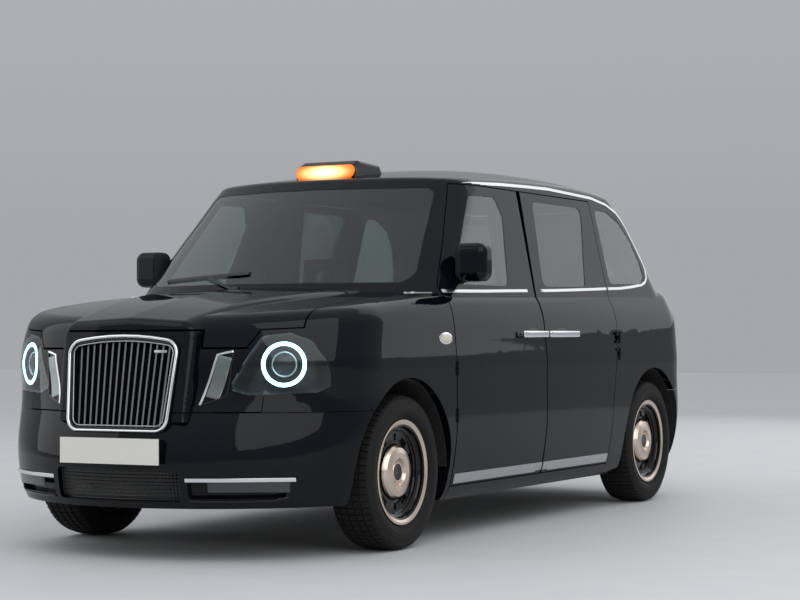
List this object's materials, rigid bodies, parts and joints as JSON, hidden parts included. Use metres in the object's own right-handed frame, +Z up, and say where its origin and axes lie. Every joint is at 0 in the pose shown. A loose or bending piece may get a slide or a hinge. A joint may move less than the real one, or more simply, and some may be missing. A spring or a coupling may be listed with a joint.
{
  "type": "city taxi cab",
  "caption": "Five-door city taxi cab with opening doors, bonnet and tailgate, steered front wheels, a partition and tip-up seats.",
  "frame": {"origin": "on the ground under the middle of the box around the car", "axes": "-Y towards the nose, +X towards the car's left side, +Z up"},
  "size_m": [2.036, 4.857, 1.8884],
  "materials": {
    "paint": "gloss",
    "glass": "gloss",
    "clear_lens": "gloss",
    "red_lens": "gloss",
    "grille_dark": "gloss",
    "lamp_bowl": "gloss",
    "underside": "matte",
    "trim_plastic": "matte",
    "steel": "matte",
    "alloy": "satin",
    "rubber_tyre": "matte",
    "seat_cover": "satin",
    "power_unit": "matte",
    "amber_sign": "gloss",
    "plate_white": "satin"
  },
  "bodies": {
    "body": {"body_sides": "paint", "roof_panel": "paint", "scuttle": "paint", "underbody": "underside", "power_units": "power_unit", "front_wings": "paint", "front_bumper": "paint", "nose_panel": "paint", "grilles": "grille_dark", "headlamps": "lamp_bowl", "headlamp_lenses": "clear_lens", "rear_bumper": "paint", "tail_lamps": "red_lens", "fixed_glass": "glass", "wheelhouses": "underside", "roof_sign": "amber_sign", "front_plate": "plate_white", "dashboard": "trim_plastic", "partition": "trim_plastic", "partition_glass": "glass", "driver_seat": "seat_cover", "rear_bench": "seat_cover", "front_subframe": "steel", "rear_suspension": "steel", "wipers": "trim_plastic"},
    "front_door_left": {"front_door_left": "paint", "front_door_glass_left": "glass"},
    "rear_door_left": {"rear_door_left": "paint", "rear_door_glass_left": "glass"},
    "front_door_right": {"front_door_right": "paint", "front_door_glass_right": "glass"},
    "rear_door_right": {"rear_door_right": "paint", "rear_door_glass_right": "glass"},
    "tailgate": {"tailgate": "paint", "tailgate_glass": "glass"},
    "bonnet": {"bonnet": "paint"},
    "knuckle_left": {"knuckle_left": "steel"},
    "knuckle_right": {"knuckle_right": "steel"},
    "front_wheel_left": {"front_wheel_left": "alloy", "front_tyre_left": "rubber_tyre"},
    "front_wheel_right": {"front_wheel_right": "alloy", "front_tyre_right": "rubber_tyre"},
    "rear_wheel_left": {"rear_wheel_left": "alloy", "rear_tyre_left": "rubber_tyre"},
    "rear_wheel_right": {"rear_wheel_right": "alloy", "rear_tyre_right": "rubber_tyre"},
    "steering_wheel": {"steering_wheel": "trim_plastic"},
    "tip_seat_right": {"tip_seat_right": "seat_cover"},
    "tip_seat_middle": {"tip_seat_middle": "seat_cover"},
    "tip_seat_left": {"tip_seat_left": "seat_cover"}
  },
  "joints": [
    {"name": "front_door_left_hinge", "type": "hinge", "parent": "body", "child": "front_door_left", "pos_m": [0.94, -0.975, 0.7], "axis": [0, 0, 1], "range_deg": [-70, 0]},
    {"name": "rear_door_left_hinge", "type": "hinge", "parent": "body", "child": "rear_door_left", "pos_m": [0.94, 1.018, 0.7], "axis": [0, 0, 1], "range_deg": [0, 90]},
    {"name": "front_door_right_hinge", "type": "hinge", "parent": "body", "child": "front_door_right", "pos_m": [-0.94, -0.975, 0.7], "axis": [0, 0, 1], "range_deg": [0, 70]},
    {"name": "rear_door_right_hinge", "type": "hinge", "parent": "body", "child": "rear_door_right", "pos_m": [-0.94, 1.018, 0.7], "axis": [0, 0, 1], "range_deg": [-90, 0]},
    {"name": "tailgate_hinge", "type": "hinge", "parent": "body", "child": "tailgate", "pos_m": [0, 1.757, 1.705], "axis": [1, 0, 0], "range_deg": [0, 85]},
    {"name": "bonnet_hinge", "type": "hinge", "parent": "body", "child": "bonnet", "pos_m": [0, -1.28, 1.147], "axis": [1, 0, 0], "range_deg": [-50, 0]},
    {"name": "knuckle_left_steer", "type": "hinge", "parent": "body", "child": "knuckle_left", "pos_m": [0.77, -1.44, 0.35], "axis": [0, 0, 1], "range_deg": [-50, 50]},
    {"name": "knuckle_right_steer", "type": "hinge", "parent": "body", "child": "knuckle_right", "pos_m": [-0.77, -1.44, 0.35], "axis": [0, 0, 1], "range_deg": [-50, 50]},
    {"name": "front_wheel_left_spin", "type": "hinge", "parent": "knuckle_left", "child": "front_wheel_left", "pos_m": [0.805, -1.44, 0.35], "axis": [1, 0, 0], "continuous": true},
    {"name": "front_wheel_right_spin", "type": "hinge", "parent": "knuckle_right", "child": "front_wheel_right", "pos_m": [-0.805, -1.44, 0.35], "axis": [1, 0, 0], "continuous": true},
    {"name": "rear_wheel_left_spin", "type": "hinge", "parent": "body", "child": "rear_wheel_left", "pos_m": [0.805, 1.545, 0.35], "axis": [1, 0, 0], "continuous": true},
    {"name": "rear_wheel_right_spin", "type": "hinge", "parent": "body", "child": "rear_wheel_right", "pos_m": [-0.805, 1.545, 0.35], "axis": [1, 0, 0], "continuous": true},
    {"name": "steering_wheel_turn", "type": "hinge", "parent": "body", "child": "steering_wheel", "pos_m": [-0.38, -0.7, 0.985], "axis": [0, 0.9063, 0.4226], "range_deg": [-600, 600]},
    {"name": "tip_seat_right_hinge", "type": "hinge", "parent": "body", "child": "tip_seat_right", "pos_m": [-0.4, 0.175, 0.6], "axis": [1, 0, 0], "range_deg": [-90, 0], "stiffness_Nm_per_rad": 20, "springref_deg": 17.19},
    {"name": "tip_seat_middle_hinge", "type": "hinge", "parent": "body", "child": "tip_seat_middle", "pos_m": [0, 0.175, 0.6], "axis": [1, 0, 0], "range_deg": [-90, 0], "stiffness_Nm_per_rad": 20, "springref_deg": 17.19},
    {"name": "tip_seat_left_hinge", "type": "hinge", "parent": "body", "child": "tip_seat_left", "pos_m": [0.4, 0.175, 0.6], "axis": [1, 0, 0], "range_deg": [-90, 0], "stiffness_Nm_per_rad": 20, "springref_deg": 17.19}
  ],
  "couplings": [
    {"joint": "knuckle_right_steer", "follows": "knuckle_left_steer", "ratio": 1},
    {"joint": "steering_wheel_turn", "follows": "knuckle_left_steer", "ratio": 12}
  ]
}
